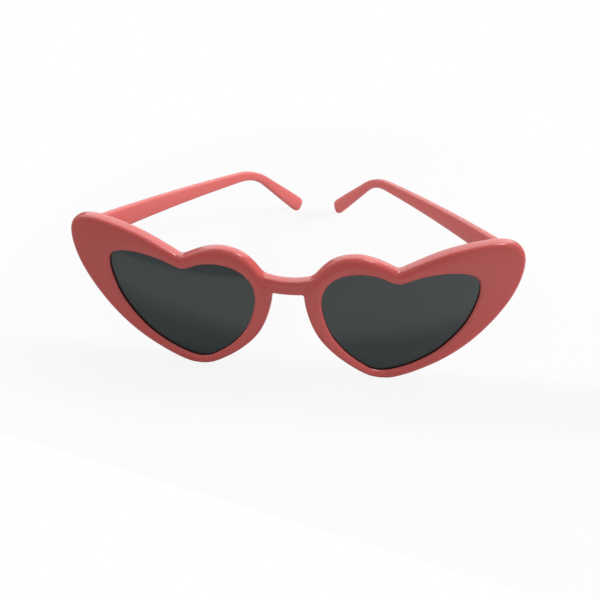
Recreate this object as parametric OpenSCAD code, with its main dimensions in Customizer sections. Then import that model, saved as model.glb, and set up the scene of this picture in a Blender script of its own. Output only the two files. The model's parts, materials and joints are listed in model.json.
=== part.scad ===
// Heart shaped sunglasses with a moulded cat eye front, tinted lenses and
// folding temples on small three knuckle metal hinges.
// Millimetres. +X is to the viewer's right, the front faces -Y, +Z is up.
// The glasses stand on the two heart points and on the temple tips, part folded.

/* [Lens openings] */
// Width of a lens opening, along the curved front
lens_w = 52.6; // [47:0.2:58]
// Height of a lens opening
lens_h = 44.2; // [40:0.2:50]
// Space between the two rims at the bridge
nose_gap = 10.8; // [8:0.2:18]

/* [Front] */
// Width of a rim beside the nose
rim_w = 5.9; // [4.8:0.1:7]
// Thickness of the front
rim_t = 4.3; // [4:0.1:5.5]
// Radius that the front wraps round the face
front_r = 280; // [220:10:500]
// Rounding of the outer edges
edge_r = 1.5; // [1:0.1:1.8]
// How much the front face crowns across a rim
crown = 0.3; // [0.1:0.05:0.5]
// How far the bridge's top drops between the rims
bridge_drop = 1.4; // [0.4:0.1:2.4]

/* [Lenses] */
// Thickness of a lens
lens_t = 1.6; // [1.3:0.1:1.8]
// How far a lens reaches into its groove
lens_lip = 0.8; // [0.5:0.05:1]
// Depth of the lens behind the front face
lens_set = 1.7; // [1.6:0.05:1.9]

/* [Nose pads] */
// Length of a pad down the side of the nose
pad_l = 13; // [10:0.5:15]
// Width of a pad
pad_w = 4; // [3:0.1:4.6]
// How far a pad stands behind the rim
pad_out = 4.6; // [3:0.2:7]

/* [Temples] */
// Length from the hinge to the corner of the bend
temple_l = 87; // [70:1:100]
// Thickness of a temple
temple_t = 3.4; // [3:0.1:4.2]
// Height of a temple at its butt end
butt_h = 8.4; // [7.6:0.1:10]
// Height at the bend, the thinnest place
neck_h = 3.8; // [3.2:0.1:6]
// Height of the tip
tip_h = 6.9; // [5:0.1:9]
// Slope of a temple below level
slope_deg = 11.7; // [8:0.1:13]
// Further angle of the tip below the straight length
bend_deg = 35; // [28:1:44]
// Radius of the bend
bend_r = 30; // [15:1:40]
// Radius that a temple curves in towards the head
hug_r = 600; // [400:20:1200]
// Space between the middles of the two tips, as the glasses stand part folded
tips_apart = 18.5; // [9:0.5:60]

/* [Hinges] */
// How far the pin lies out from the side of the lens opening
hinge_out = 4.1; // [3.4:0.1:5]
// How far the hinge's middle lies above the top of the lens opening
hinge_up = 1.65; // [1.2:0.05:2.4]
// Height of one knuckle
knuckle_h = 1.9; // [1.5:0.1:2.2]
// Radius of a knuckle
knuckle_r = 1.25; // [1.1:0.05:1.35]
// Radius of the hinge screw's shank
pin_r = 0.7; // [0.5:0.05:0.8]
// Thickness of a leaf
leaf_t = 0.8; // [0.6:0.05:1]

/* [Hidden] */
$fn = 48;

pink = [0.86, 0.42, 0.42];
pale_pink = [0.93, 0.55, 0.54];
smoke = [0.2, 0.21, 0.21];
steel = [0.75, 0.75, 0.77];

// Clearances: a turning fit, a pressed seat, parts that pass, the open stop, the groove
// behind and in front of a lens, which rests on the rear wall, and one overrun for cuts
turn_gap = 0.04;
seat_gap = 0.02;
pass_gap = 0.35;
stop_gap = 0.15;
groove_gap = 0.1;
lens_play = 0.4;
cut = 0.5;

// Outline of a lens opening, as shares of its width and height, from the
// heart's point up the outer side, over both lobes and down the nose side
opening_shares = [
    [0.44, 0], [0.515, 0.018], [0.635, 0.075], [0.78, 0.195], [0.885, 0.345],
    [0.96, 0.51], [0.995, 0.69], [1, 0.825], [0.97, 0.93], [0.89, 0.985],
    [0.755, 1], [0.61, 0.97], [0.522, 0.926], [0.476, 0.91], [0.427, 0.928],
    [0.345, 0.976], [0.23, 0.998], [0.11, 0.965], [0.03, 0.87], [0, 0.73],
    [0.02, 0.56], [0.08, 0.365], [0.193, 0.18], [0.32, 0.047], [0.378, 0.011]];
// Step from each of those points to the rim's outer edge, as shares of rim_w
rim_shares = [
    [0.2, -0.67], [0.2, -0.72], [0.33, -0.67], [0.72, -0.56], [1.2, -0.36],
    [1.68, 0.07], [2.13, 0.45], [2.33, 1.01], [2.4, 1.48], [2.42, 1.81],
    [2.29, 1.87], [1.3, 1.61], [0.23, 1.08], [0.01, 0.88], [-0.17, 1.03],
    [-0.26, 1.07], [-0.3, 1.13], [-0.5, 1], [-0.8, 0.48], [-1.02, 0.45],
    [-0.91, -0.06], [-0.77, -0.25], [-0.6, -0.32], [-0.32, -0.49], [-0.04, -0.63]];
steps = 4;

// A smooth closed curve through points, at span k and share t along that span
function on_curve(pts, k, t) =
    let (n = len(pts), a = pts[(k + n - 1) % n], b = pts[k], c = pts[(k + 1) % n], d = pts[(k + 2) % n])
    (2 * b + (c - a) * t + (2 * a - 5 * b + 4 * c - d) * t * t + (3 * b - a - 3 * c + d) * t * t * t) / 2;
function closed_curve(pts) =
    [for (k = [0 : len(pts) - 1], i = [0 : steps - 1]) on_curve(pts, k, i / steps)];
function unit(v) = v / norm(v);
function mix(a, b, t) = a + (b - a) * t;
function ease(t) = t * t * (3 - 2 * t);

// The opening and the outer edge, in the front's own plane: along the curve, and up
opening_x = nose_gap / 2 + rim_w;
opening_pts = [for (s = opening_shares) [opening_x + s.x * lens_w, s.y * lens_h]];
outer_pts = [for (k = [0 : len(opening_pts) - 1]) opening_pts[k] + rim_shares[k] * rim_w];
raw_inner = closed_curve(opening_pts);
raw_outer = closed_curve(outer_pts);
base_z = -min([for (p = raw_outer) p.y]);
inner = [for (p = raw_inner) [p.x, p.y + base_z]];
outer = [for (p = raw_outer) [p.x, p.y + base_z]];
stations = len(inner);
front_top = max([for (p = outer) p.y]);

// A place on the front: x along the curve, z up, n behind the front face
function wrap(x, z, n) =
    let (a = x / front_r * 180 / PI) [(front_r - n) * sin(a), front_r - (front_r - n) * cos(a), z];

// Section of a rim, as [share of the way from opening to outer edge, step across the rim, depth]
bevel = 0.7;
groove_d = lens_lip + groove_gap * 3;
rim_section = [
    [0, 0, bevel + crown], [0, bevel, crown], [0.5, 0, 0],
    [1, -edge_r, crown], [1, -edge_r * 0.4, crown + edge_r * 0.35], [1, -edge_r * 0.07, crown + edge_r * 0.85],
    [1, 0, rim_t * 0.55], [1, -edge_r * 0.05, rim_t - edge_r * 0.6],
    [1, -edge_r * 0.3, rim_t - edge_r * 0.2], [1, -edge_r * 0.8, rim_t],
    [0, bevel * 0.6, rim_t], [0, 0, rim_t - bevel * 0.4],
    [0, 0, lens_set + lens_t + groove_gap], [0, groove_d, lens_set + lens_t + groove_gap],
    [0, groove_d, lens_set - lens_play], [0, 0, lens_set - lens_play]];
sides = len(rim_section);
function rim_point(k, s) =
    let (a = inner[k], b = outer[k], d = unit(b - a), q = a + (b - a) * s[0] + d * s[1])
    [q.x, q.y, s[2]];
rim_points = [for (k = [0 : stations - 1], s = rim_section) rim_point(k, s)];

// The bridge is a skin between two windows in the rims' outer walls. Each
// window spans the curve between two outline points and part of the section.
window_span_n = 18;
window_side_n = 4;
window_n = 4;
window_start = window_span_n * steps;
window = concat(
    [for (j = [0 : window_n - 1]) [0, j]], [for (i = [0 : steps - 1]) [i, window_n]],
    [for (j = [window_n : -1 : 1]) [steps, j]], [for (i = [steps : -1 : 1]) [i, 0]]);
function window_index(w) = (window_start + w[0]) * sides + window_side_n + w[1];
function in_window(k, s) =
    k >= window_start && k < window_start + steps && s >= window_side_n && s < window_side_n + window_n;
bridge_shares = [-0.7, -0.4, 0, 0.4, 0.7];
bridge_round = 0.6;
function bridge_point(w, u) =
    let (p = rim_points[window_index(w)], arch = 1 - u * u, top = 1 - w[0] / steps,
        corner = (w[1] == 0 || w[1] == window_n) && (w[0] == 0 || w[0] == steps) ? 1 : 0,
        round_z = bridge_round * corner * (w[0] == 0 ? -1 : 1))
    [p.x * u, p.y + arch * (round_z - bridge_drop * top), p.z];

front_points = concat(
    [for (p = rim_points) wrap(p.x, p.y, p.z)],
    [for (p = rim_points) wrap(-p.x, p.y, p.z)],
    [for (u = bridge_shares, w = window) let (p = bridge_point(w, u)) wrap(p.x, p.y, p.z)]);
half_count = len(rim_points);
function ring_index(r, i) =
    let (m = i % len(window), last = len(bridge_shares))
    r == 0 ? half_count + window_index(window[m])
    : r == last + 1 ? window_index(window[m])
    : 2 * half_count + (r - 1) * len(window) + m;
front_faces = concat(
    [for (k = [0 : stations - 1], s = [0 : sides - 1]) if (!in_window(k, s))
        let (k2 = (k + 1) % stations, s2 = (s + 1) % sides, a = k * sides, b = k2 * sides)
        each [[a + s, b + s, b + s2], [a + s, b + s2, a + s2]]],
    [for (k = [0 : stations - 1], s = [0 : sides - 1]) if (!in_window(k, s))
        let (k2 = (k + 1) % stations, s2 = (s + 1) % sides, a = half_count + k * sides, b = half_count + k2 * sides)
        each [[a + s, b + s2, b + s], [a + s, a + s2, b + s2]]],
    [for (r = [0 : len(bridge_shares)], i = [0 : len(window) - 1])
        each [[ring_index(r, i), ring_index(r + 1, i + 1), ring_index(r + 1, i)],
            [ring_index(r, i), ring_index(r, i + 1), ring_index(r + 1, i + 1)]]]);

// Hinge: the pin's place behind the front, and the pieces round it
hinge_x = opening_x + lens_w + hinge_out;
hinge_at = wrap(hinge_x, base_z + lens_h + hinge_up, rim_t);
leaf_stand = 0.35;
arm_reach = 3.4;
pin_x = hinge_at.x;
pin_y = hinge_at.y + leaf_stand + arm_reach;
pin_z = hinge_at.z;
knuckle_gap = 0.1;
pitch_z = knuckle_h + knuckle_gap;
seat_y = pin_y - arm_reach;
front_leaf_l = 3.6;
front_leaf_h = 3 * knuckle_h + 2 * knuckle_gap;
arm_w = 1.5;
face_x = knuckle_r + pass_gap;
leaf_proud = 0.3;
temple_leaf_l = 5;
temple_leaf_h = 3.6;
temple_leaf_start = 0.9;
leaf_screw_r = 0.5;
leaf_head_r = 0.85;
leaf_head_h = 0.4;
front_screw_depth = 3;
temple_screw_depth = 2;
front_screw_pitch = 3.2;
temple_screw_shares = [0.3, 0.78];
pin_head_r = 1.1;
pin_head_h = 0.55;
slot_w = 0.3;
slot_d = 0.25;
lug_round = 0.8;
temple_mid_drop = 0.8;

// Temple, in its open place round the pin: +Y away from the front, +Z up
mid_x = face_x + temple_t / 2;
bend_cut = bend_r * tan(bend_deg / 2);
bend_len = bend_r * bend_deg * PI / 180;
tip_round = 2.7;
temple_round = 1.2;
steep_deg = slope_deg + bend_deg;
end_rise = tip_round * (1 - sin(steep_deg)) + (tip_h / 2 - tip_round) * cos(steep_deg);
tip_l = (pin_z - temple_mid_drop - temple_l * sin(slope_deg) - end_rise) / sin(steep_deg);
straight_len = temple_l - bend_cut;
path_len = straight_len + bend_len + tip_l - bend_cut;
function slope_at(s) = slope_deg + bend_deg * max(0, min(1, (s - straight_len) / bend_len));
// Middle line, as [along, down] from the pin
bend_from = [straight_len * cos(slope_deg), straight_len * sin(slope_deg)];
function arc_step(a) = bend_r * [sin(a) - sin(slope_deg), cos(slope_deg) - cos(a)];
function middle(s) =
    s <= straight_len ? s * [cos(slope_deg), sin(slope_deg)]
    : s <= straight_len + bend_len ? bend_from + arc_step(slope_at(s))
    : bend_from + arc_step(steep_deg) + (s - straight_len - bend_len) * [cos(steep_deg), sin(steep_deg)];
function hug(s) =
    let (e = min(s, straight_len + bend_len)) -e * e / (2 * hug_r) - (s - e) * e / hug_r;
function height_at(s) = s < straight_len + bend_len / 2
    ? mix(butt_h, neck_h, s / (straight_len + bend_len / 2))
    : mix(neck_h, tip_h, ease((s - straight_len - bend_len / 2) / (path_len - straight_len - bend_len / 2)));
function end_in(s) =
    let (e = max(0, tip_round - (path_len - s))) tip_round - sqrt(tip_round * tip_round - e * e);
corner_shares = [[0, 1], [0.293, 0.293], [1, 0]];
function temple_section(s) =
    let (m = middle(s), lean = slope_at(s) * ease(min(1, s / butt_h)), w = temple_t / 2 - end_in(s) * 0.45,
        h = height_at(s) / 2 - end_in(s), r = min(temple_round, w * 0.9), x0 = mid_x + hug(s))
    [for (q = [[1, 1], [-1, 1], [-1, -1], [1, -1]], i = [0 : 2])
        let (c = q.x * q.y > 0 ? corner_shares[i] : corner_shares[2 - i],
            x = q.x * (w - r * c.x), u = q.y * (h - r * c.y))
        [x0 + x, max(stop_gap, m.x + u * sin(lean)), u * cos(lean) - m.y]];
end_deg = [30, 55, 75, 88];
temple_s = concat(
    [stop_gap, butt_h / 2, butt_h],
    [for (i = [1 : 6]) mix(butt_h, straight_len, i / 6)],
    [for (i = [1 : 8]) straight_len + bend_len * i / 8],
    [for (i = [1 : 4]) mix(straight_len + bend_len, path_len - tip_round, i / 4)],
    [for (a = end_deg) path_len - tip_round * (1 - sin(a))]);
temple_sections = [for (s = temple_s) temple_section(s)];
section_n = len(temple_sections[0]);
rows = len(temple_sections);

// Angle that each temple is folded in from open, so that the tips stand as far apart as asked
tip_end = [mid_x + hug(path_len), middle(path_len).x];
fold_deg = acos((tips_apart / 2 - pin_x) / norm(tip_end)) - atan2(tip_end.y, tip_end.x);

// The whole part's depth sets the origin's place, half way between front and tips
function turn(p, a) = [p.x * cos(a) - p.y * sin(a), p.x * sin(a) + p.y * cos(a)];
rear_y = max([for (r = temple_sections, p = r) pin_y + turn(p, fold_deg).y]);
front_y = min([for (p = front_points) p.y]);
shift_y = -(rear_y + front_y) / 2;

module place() { translate([0, shift_y, 0]) children(); }
module at_pin() { place() translate([pin_x, pin_y, pin_z]) children(); }
// A temple and what rides on it, turned in to the folded place
module folded() { at_pin() rotate([0, 0, fold_deg]) children(); }
module other_side() { mirror([1, 0, 0]) children(); }

// Block behind the front: a flat seat for the leaf and the lug that the temple butts on
module hinge_block() {
    inside_y = seat_y - rim_t * 0.6;
    seat_h = front_leaf_h + leaf_t;
    place() {
        translate([pin_x - arm_w / 2 - front_leaf_l - leaf_t, inside_y, pin_z - seat_h / 2])
            cube([front_leaf_l + leaf_t + arm_w + face_x, seat_y - inside_y, seat_h]);
        translate([pin_x + face_x, inside_y, pin_z - temple_mid_drop - butt_h / 2])
            linear_extrude(butt_h) polygon([[0, 0], [temple_t, 0], [temple_t, pin_y - inside_y - lug_round],
                [temple_t - lug_round / 2, pin_y - inside_y], [0, pin_y - inside_y]]);
    }
}

module front_screw_places() {
    for (s = [-1, 1]) at_pin()
        translate([-arm_w / 2 - front_leaf_l * 0.55, -arm_reach, s * front_screw_pitch / 2])
            rotate([-90, 0, 0]) children();
}

module temple_screw_places() {
    for (s = temple_screw_shares) folded() rotate([-slope_deg, 0, 0])
        translate([face_x - leaf_proud, temple_leaf_start + s * temple_leaf_l, 0])
            rotate([0, 90, 0]) children();
}

module front_screw_holes() {
    front_screw_places() translate([0, 0, -front_screw_depth - seat_gap])
        cylinder(h = front_screw_depth + cut, r = leaf_screw_r + seat_gap);
}

module front_frame() color(pink) difference() {
    union() {
        place() polyhedron(front_points, front_faces);
        hinge_block();
        other_side() hinge_block();
    }
    front_screw_holes();
    other_side() front_screw_holes();
}

module lens() color(smoke) place() intersection() {
    translate([0, front_r, 0]) difference() {
        cylinder(h = front_top, r = front_r - lens_set, $fn = 720);
        translate([0, 0, -cut]) cylinder(h = front_top + 2 * cut, r = front_r - lens_set - lens_t, $fn = 720);
    }
    translate([0, front_r / 4, 0]) rotate([90, 0, 0]) linear_extrude(front_r / 4 + cut)
        polygon([for (k = [0 : stations - 1])
            let (q = inner[k] + unit(outer[k] - inner[k]) * lens_lip, p = wrap(q.x, q.y, lens_set + lens_t / 2))
            [p.x, p.z]]);
}

// Pad bonded behind the rim's nose side, standing back and splayed out from the nose
module nose_pad() color(pale_pink) {
    top = [opening_x - rim_w * 0.45, base_z + lens_h * 0.6];
    low = [opening_x - rim_w * 0.05, top.y - pad_l * 0.8];
    base_y = wrap(low.x + pad_w / 2, 0, rim_t).y + seat_gap;
    place() intersection() {
        translate([0, base_y, 0]) cube([lens_w, pad_out + cut, front_top]);
        hull() {
            translate([top.x, base_y + pad_out * 0.3, top.y]) scale([0.5, 1, 1]) sphere(r = pad_w / 2, $fn = 24);
            translate([low.x, base_y + pad_out * 0.2, low.y]) scale([0.6, 1, 1]) sphere(r = pad_w / 2, $fn = 24);
            translate([(top.x + low.x) / 2 + pad_w * 0.3, base_y + pad_out - pad_w / 2, (top.y + low.y) / 2])
                scale([0.4, 1, 1.6]) sphere(r = pad_w / 2, $fn = 24);
        }
    }
}

// Where the temple leaf and its link lie, so that the temple leaves room for them
module temple_leaf_room(extra) {
    rotate([-slope_deg, 0, 0])
        translate([face_x - leaf_proud - extra, temple_leaf_start - extra, -temple_leaf_h / 2 - extra])
            cube([leaf_t + 2 * extra, temple_leaf_l + 2 * extra, temple_leaf_h + 2 * extra]);
}

module temple() color(pale_pink) difference() {
    folded() translate([0, 0, -temple_mid_drop]) polyhedron(
        [for (r = temple_sections, p = r) p],
        concat(
            [[for (i = [section_n - 1 : -1 : 0]) i]],
            [[for (i = [0 : section_n - 1]) (rows - 1) * section_n + i]],
            [for (r = [0 : rows - 2], i = [0 : section_n - 1])
                let (a = r * section_n, b = a + section_n, j = (i + 1) % section_n)
                each [[a + i, a + j, b + j], [a + i, b + j, b + i]]]));
    folded() temple_leaf_room(seat_gap);
    temple_screw_places()
        cylinder(h = leaf_proud + temple_screw_depth + seat_gap, r = leaf_screw_r + seat_gap);
}

module knuckle(i) {
    translate([0, 0, i * pitch_z - knuckle_h / 2]) children();
}

module front_leaf() color(steel) difference() {
    union() {
        at_pin() translate([-arm_w / 2 - front_leaf_l, -arm_reach, -front_leaf_h / 2])
            cube([front_leaf_l + arm_w, leaf_t, front_leaf_h]);
        for (i = [-1, 1]) at_pin() knuckle(i) {
            cylinder(h = knuckle_h, r = knuckle_r);
            translate([-arm_w / 2, -arm_reach, 0]) cube([arm_w, arm_reach, knuckle_h]);
        }
    }
    for (i = [-1, 1]) at_pin() knuckle(i) translate([0, 0, -knuckle_gap / 2])
        cylinder(h = knuckle_h + knuckle_gap, r = pin_r + seat_gap);
    front_screw_places() translate([0, 0, -cut]) cylinder(h = leaf_t + 2 * cut, r = leaf_screw_r + seat_gap);
}

module temple_leaf() color(steel) difference() {
    union() {
        folded() temple_leaf_room(0);
        folded() translate([0, 0, -knuckle_h / 2]) cylinder(h = knuckle_h, r = knuckle_r);
        folded() translate([0, 0, -knuckle_h / 2])
            cube([face_x - leaf_proud * 0.2, temple_leaf_start + leaf_t * 0.6, knuckle_h]);
    }
    at_pin() translate([0, 0, -knuckle_h]) cylinder(h = knuckle_h * 2, r = pin_r + turn_gap);
    temple_screw_places() translate([0, 0, -cut]) cylinder(h = leaf_t + 2 * cut, r = leaf_screw_r + seat_gap);
}

module hinge_screw() color(steel) at_pin() difference() {
    union() {
        translate([0, 0, -front_leaf_h / 2]) cylinder(h = front_leaf_h + pin_head_h / 2, r = pin_r);
        translate([0, 0, front_leaf_h / 2 + seat_gap]) cylinder(h = pin_head_h, r = pin_head_r);
    }
    translate([-pin_head_r, -slot_w / 2, front_leaf_h / 2 + seat_gap + pin_head_h - slot_d])
        cube([2 * pin_head_r, slot_w, slot_d + cut]);
}

// A small screw: a shank below zero and a low head above it
module leaf_screw(depth) {
    translate([0, 0, -depth]) cylinder(h = depth + leaf_t + leaf_head_h / 2, r = leaf_screw_r);
    translate([0, 0, leaf_t + seat_gap]) cylinder(h = leaf_head_h, r = leaf_head_r);
}

module front_leaf_screws() color(steel) front_screw_places() leaf_screw(front_screw_depth);
module temple_leaf_screws() color(steel)
    temple_screw_places() translate([0, 0, leaf_t]) rotate([180, 0, 0]) leaf_screw(temple_screw_depth - leaf_t);

front_frame();
other_side() lens();  // lens_left
lens();  // lens_right
other_side() nose_pad();  // nose_pad_left
nose_pad();  // nose_pad_right
other_side() temple();  // temple_left
temple();  // temple_right
other_side() front_leaf();  // front_leaf_left
front_leaf();  // front_leaf_right
other_side() temple_leaf();  // temple_leaf_left
temple_leaf();  // temple_leaf_right
other_side() hinge_screw();  // hinge_screw_left
hinge_screw();  // hinge_screw_right
other_side() front_leaf_screws();  // front_leaf_screws_left
front_leaf_screws();  // front_leaf_screws_right
other_side() temple_leaf_screws();  // temple_leaf_screws_left
temple_leaf_screws();  // temple_leaf_screws_right
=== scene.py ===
# %% [markdown]
# # Heart shaped sunglasses
# The object is a pair of cat eye sunglasses in coral pink plastic. One moulding holds two heart
# shaped rims and a bridge, smoke grey lenses sit in its grooves, and two temples fold on metal hinges.
# A solid model comes first: it fixes each size and place, and nothing below moves it. The cells
# here remake the moulded pieces with smooth skins, soften the metal, and give each piece its finish.

# %% Load the solid model
import json
import math

import bmesh
import bpy
import numpy as np
from mathutils import Matrix, Vector


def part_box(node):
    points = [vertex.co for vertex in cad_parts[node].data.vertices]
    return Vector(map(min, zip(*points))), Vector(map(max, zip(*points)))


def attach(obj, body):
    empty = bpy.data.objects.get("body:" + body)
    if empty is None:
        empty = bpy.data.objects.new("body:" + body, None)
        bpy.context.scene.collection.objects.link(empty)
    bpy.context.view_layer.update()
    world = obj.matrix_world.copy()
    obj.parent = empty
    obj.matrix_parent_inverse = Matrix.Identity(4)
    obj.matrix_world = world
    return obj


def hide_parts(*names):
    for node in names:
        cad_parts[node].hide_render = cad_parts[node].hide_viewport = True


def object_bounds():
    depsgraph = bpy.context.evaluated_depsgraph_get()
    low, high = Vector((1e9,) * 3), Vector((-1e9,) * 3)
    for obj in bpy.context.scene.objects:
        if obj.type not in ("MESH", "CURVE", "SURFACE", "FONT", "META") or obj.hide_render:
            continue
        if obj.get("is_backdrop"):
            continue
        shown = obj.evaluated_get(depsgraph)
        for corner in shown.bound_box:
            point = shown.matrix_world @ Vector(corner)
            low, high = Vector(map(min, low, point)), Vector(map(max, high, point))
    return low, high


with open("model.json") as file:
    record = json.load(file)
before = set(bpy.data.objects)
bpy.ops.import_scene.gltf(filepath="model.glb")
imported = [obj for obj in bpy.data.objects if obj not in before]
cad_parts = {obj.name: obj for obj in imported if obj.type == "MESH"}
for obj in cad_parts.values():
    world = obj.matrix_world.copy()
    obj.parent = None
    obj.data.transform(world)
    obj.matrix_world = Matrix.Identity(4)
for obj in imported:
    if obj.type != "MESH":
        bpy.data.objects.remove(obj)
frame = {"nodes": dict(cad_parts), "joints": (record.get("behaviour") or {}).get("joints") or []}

MM = 0.001
SIDES = (("left", -1), ("right", 1))
cad_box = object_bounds()
pins = {joint["child"]: Vector(joint["pos_m"]) / MM for joint in frame["joints"]}
print("nodes:", len(frame["nodes"]), "hinge pins, mm:", {body: tuple(pin) for body, pin in pins.items()})

# %% [markdown]
# ## Sizes
# The script works in millimetres and turns them into metres when it makes a mesh. The moulding is
# drawn on a flat sheet first, with x along the front and z up, and is then wrapped round a large
# cylinder, as a real front wraps round a face. Its place in the row comes from the hinge pin, which
# the solid model gives, so the smooth skin lands on the solid without any fitting.

# %% Sizes of the front, in millimetres
# width along the curve and height of a lens opening
lens_w, lens_h = 52.6, 44.2
# space between the rims, width of a rim beside the nose, thickness of the front
nose_gap, rim_w, rim_t = 10.8, 5.9, 4.3
# radius of the wrap, rounding of the outer edges, bulge of the face across a rim
front_r, edge_r, crown = 280, 1.5, 0.3
# dip of the bridge's top between the rims
bridge_drop = 1.4
# a lens: thickness, depth behind the face, reach into the groove
lens_t, lens_set, lens_lip = 1.6, 1.7, 0.8
# room in the groove before the lens, and behind and round it
lens_play, groove_gap = 0.12, 0.1
# the hinge: pin out from the opening, leaf's seat behind the rim, pin behind the seat
hinge_out, leaf_stand, arm_reach = 4.1, 0.35, 3.4
opening_x = nose_gap / 2 + rim_w
hinge_x = opening_x + lens_w + hinge_out
hinge_depth = front_r - (front_r - rim_t) * math.cos(hinge_x / front_r)
shift_y = pins["right_temple"].y - hinge_depth - leaf_stand - arm_reach
print("front face at the bridge, y:", round(shift_y, 2), "mm")


def wrap(x, z, depth):
    """Places in the row, in millimetres: x along the curved front, z up, depth behind its face."""
    angle = np.asarray(x, float) / front_r
    reach = front_r - np.asarray(depth, float)
    across, behind = reach * np.sin(angle), front_r - reach * np.cos(angle) + shift_y
    return np.stack(np.broadcast_arrays(across, behind, z), -1)


# %% [markdown]
# ## The heart outline
# Twenty five points go round a lens opening, from the heart's point up the outer side and over both
# lobes. Each has a partner on the rim's outer edge, so the rim can widen into the cat eye's wing.
# A Catmull-Rom curve passes through its points, which keeps the lobes where the points put them.

# %% Outline points, as shares of the opening's size and of the rim's width
opening_shares = np.array([
    (0.44, 0), (0.515, 0.018), (0.635, 0.075), (0.78, 0.195), (0.885, 0.345),
    (0.96, 0.51), (0.995, 0.69), (1, 0.825), (0.97, 0.93), (0.89, 0.985),
    (0.755, 1), (0.61, 0.97), (0.522, 0.926), (0.476, 0.91), (0.427, 0.928),
    (0.345, 0.976), (0.23, 0.998), (0.11, 0.965), (0.03, 0.87), (0, 0.73),
    (0.02, 0.56), (0.08, 0.365), (0.193, 0.18), (0.32, 0.047), (0.378, 0.011)])
rim_shares = np.array([
    (0.2, -0.67), (0.2, -0.72), (0.33, -0.67), (0.72, -0.56), (1.2, -0.36),
    (1.68, 0.07), (2.13, 0.45), (2.33, 1.01), (2.4, 1.48), (2.42, 1.81),
    (2.29, 1.87), (1.3, 1.61), (0.23, 1.08), (0.01, 0.88), (-0.17, 1.03),
    (-0.26, 1.07), (-0.3, 1.13), (-0.5, 1), (-0.8, 0.48), (-1.02, 0.45),
    (-0.91, -0.06), (-0.77, -0.25), (-0.6, -0.32), (-0.32, -0.49), (-0.04, -0.63)])


def closed_curve(points, steps):
    """A smooth closed curve through the points, with so many places on each span."""
    neighbours = (np.roll(points, shift, axis=0)[:, None, :] for shift in (1, 0, -1, -2))
    before, here, after, beyond = neighbours
    t = (np.arange(steps) / steps)[None, :, None]
    cubic = 3 * here - before - 3 * after + beyond
    square = 2 * before - 5 * here + 4 * after - beyond
    return ((2 * here + (after - before) * t + square * t**2 + cubic * t**3) / 2).reshape(-1, 2)


opening_points = np.array([opening_x, 0]) + opening_shares * np.array([lens_w, lens_h])
outer_points = opening_points + rim_shares * rim_w
# lifts the outlines so that the rim's lowest point stands on the table
base_z = -closed_curve(outer_points, 4)[:, 1].min()


def outlines(steps):
    """The opening and the outer edge of the right rim, and the unit step from one to the other."""
    inner = closed_curve(opening_points, steps) + np.array([0, base_z])
    outer = closed_curve(outer_points, steps) + np.array([0, base_z])
    across = outer - inner
    return inner, outer, across / np.linalg.norm(across, axis=1, keepdims=True)


print("opening's point stands", round(base_z, 2), "mm above the table")

# %% [markdown]
# ## Helpers that make meshes
# A finished piece's object stays at the origin and its place lies in its mesh, as with the solid
# model's own pieces. Doubles are merged before the normals are worked out, so that a seam closes
# first and every face then looks outwards.


# %% Mesh helpers
def tidy(mesh, merge=0.002):
    """Merges doubles, given in millimetres, turns all faces outwards and shades them smoothly."""
    shape = bmesh.new()
    shape.from_mesh(mesh)
    bmesh.ops.remove_doubles(shape, verts=shape.verts, dist=merge * MM)
    bmesh.ops.dissolve_degenerate(shape, edges=shape.edges, dist=merge * MM / 10)
    bmesh.ops.recalc_face_normals(shape, faces=shape.faces)
    for face in shape.faces:
        face.smooth = True
    shape.to_mesh(mesh)
    shape.free()


def add_piece(name, points, faces):
    """A new object from points in millimetres."""
    mesh = bpy.data.meshes.new(name)
    corners = [list(map(int, face)) for face in faces]
    mesh.from_pydata((np.asarray(points, float) * MM).tolist(), [], corners)
    piece = bpy.data.objects.new(name, mesh)
    bpy.context.scene.collection.objects.link(piece)
    tidy(mesh)
    return piece


def baked(piece):
    """Turns a piece with modifiers into a plain mesh."""
    bpy.context.view_layer.update()
    graph = bpy.context.evaluated_depsgraph_get()
    mesh = bpy.data.meshes.new_from_object(piece.evaluated_get(graph), depsgraph=graph)
    mesh.name = piece.name
    piece.modifiers.clear()
    piece.data = mesh
    return piece


def ring_faces(rows, around, closed_rows=False):
    """Four sided faces of a tube: rows of points, each row closed on itself."""
    spans = rows if closed_rows else rows - 1
    row, place = np.meshgrid(np.arange(spans), np.arange(around), indexing="ij")
    after = (row + 1) % rows
    beside = (place + 1) % around
    corners = [(row, place), (after, place), (after, beside), (row, beside)]
    return np.stack([r * around + p for r, p in corners], -1).reshape(-1, 4)


def values_of(items, field, width, kind=float):
    """One field of a mesh's points or edges, as an array with a row for each."""
    values = np.empty(len(items) * width, kind)
    items.foreach_get(field, values)
    return values.reshape(-1, width)


def mark_edges(piece, radius):
    """Writes 'worn' on each point: 0 where flat, 1 where it is as sharp as the radius, in millimetres."""
    mesh = piece.data
    places = values_of(mesh.vertices, "co", 3) / MM
    normals = values_of(mesh.vertices, "normal", 3)
    edges = values_of(mesh.edges, "vertices", 2, int)
    here, beside = np.concatenate([edges, edges[:, ::-1]]).T
    step = places[beside] - places[here]
    # a neighbour that lies below the point's own plane shows by how much the surface bends there
    bend = -2 * (step * normals[here]).sum(1) / np.maximum((step**2).sum(1), 1e-6)
    worst = np.zeros(len(places))
    np.maximum.at(worst, here, bend)
    smooth = np.zeros(len(places))
    np.add.at(smooth, here, worst[beside])
    count = np.maximum(np.bincount(here, minlength=len(places)), 1)
    worn = np.clip((worst + smooth / count) / 2 * radius, 0, 1)
    attribute = mesh.attributes.get("worn") or mesh.attributes.new("worn", "FLOAT", "POINT")
    attribute.data.foreach_set("value", worn.astype(np.float32))


def dress(piece, body, material, node):
    """Gives a piece its finish and its body, and hides the solid node that it stands for."""
    piece.data.materials.clear()
    piece.data.materials.append(material)
    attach(piece, body)
    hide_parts(node)
    print(piece.name, "faces:", len(piece.data.polygons), "on", body)


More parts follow.
